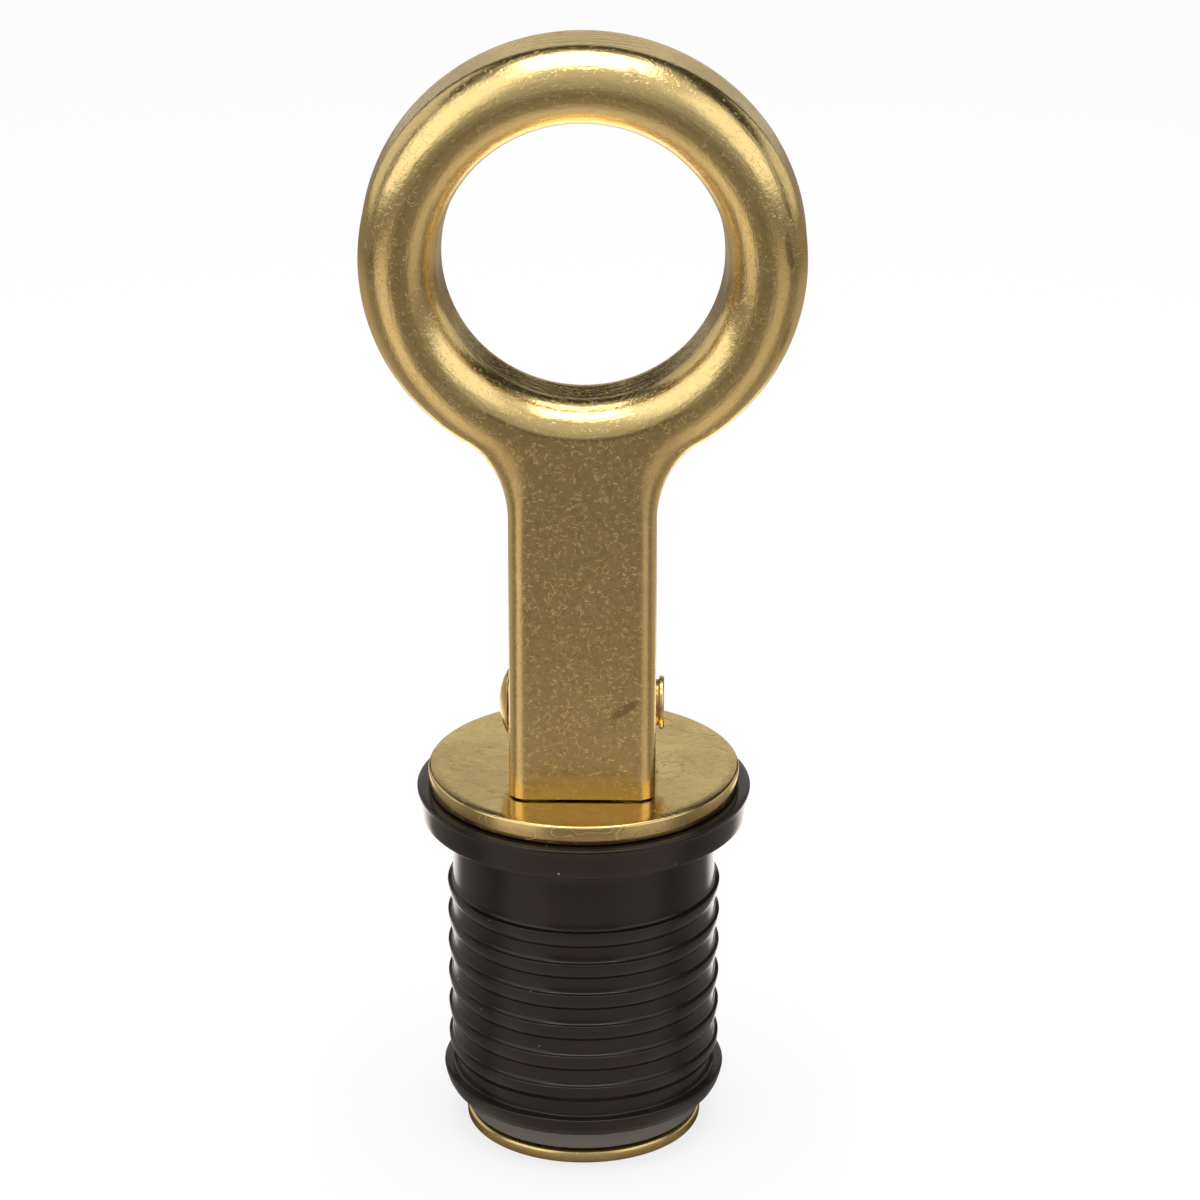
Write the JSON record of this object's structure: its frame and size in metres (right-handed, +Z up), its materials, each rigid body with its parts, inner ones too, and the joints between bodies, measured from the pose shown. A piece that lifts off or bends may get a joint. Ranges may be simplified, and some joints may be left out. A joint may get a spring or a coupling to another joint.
{
  "type": "boat drain plug",
  "caption": "Expanding boat drain plug: a ribbed rubber body between brass washers, drawn tight by a fold-over ring handle with cam ears.",
  "frame": {"origin": "centre of the bottom washer's underside, on the plug's axis", "axes": "+Z up along the plug's axis to the finger ring, -Y out of the handle's front, +Y the way the handle folds, +X to the right seen from the front"},
  "size_m": [0.0392, 0.0306, 0.1057],
  "materials": {
    "handle_brass": "worn satin with polished bead",
    "pin_brass": "plain turned",
    "rod_brass": "plain turned",
    "top_washer_brass": "satin, tarnished",
    "black_rubber": "moulded, semi-gloss",
    "bottom_washer_brass": "satin, tarnished"
  },
  "bodies": {
    "plug": {"rubber_plug": "black_rubber"},
    "head": {"top_washer": "top_washer_brass"},
    "rod": {"draw_rod": "rod_brass", "bottom_washer": "bottom_washer_brass"},
    "lever": {"handle": "handle_brass", "pivot_pin": "pin_brass"}
  },
  "joints": [
    {"name": "head_swivel", "type": "hinge", "parent": "plug", "child": "head", "pos_m": [0, 0, 0.03423], "axis": [0, 0, 1], "continuous": true},
    {"name": "rod_draw", "type": "slide", "parent": "head", "child": "rod", "axis": [0, 0, 1], "range_m": [0, 0.0019], "deforming": ["rubber_plug"]},
    {"name": "handle_fold", "type": "hinge", "parent": "rod", "child": "lever", "pos_m": [0, 0, 0.04193], "axis": [-1, 0, 0], "range_deg": [0, 90]}
  ],
  "couplings": [
    {"joint": "rod_draw", "follows": "handle_fold", "m_per_rad": 0.0012095}
  ]
}
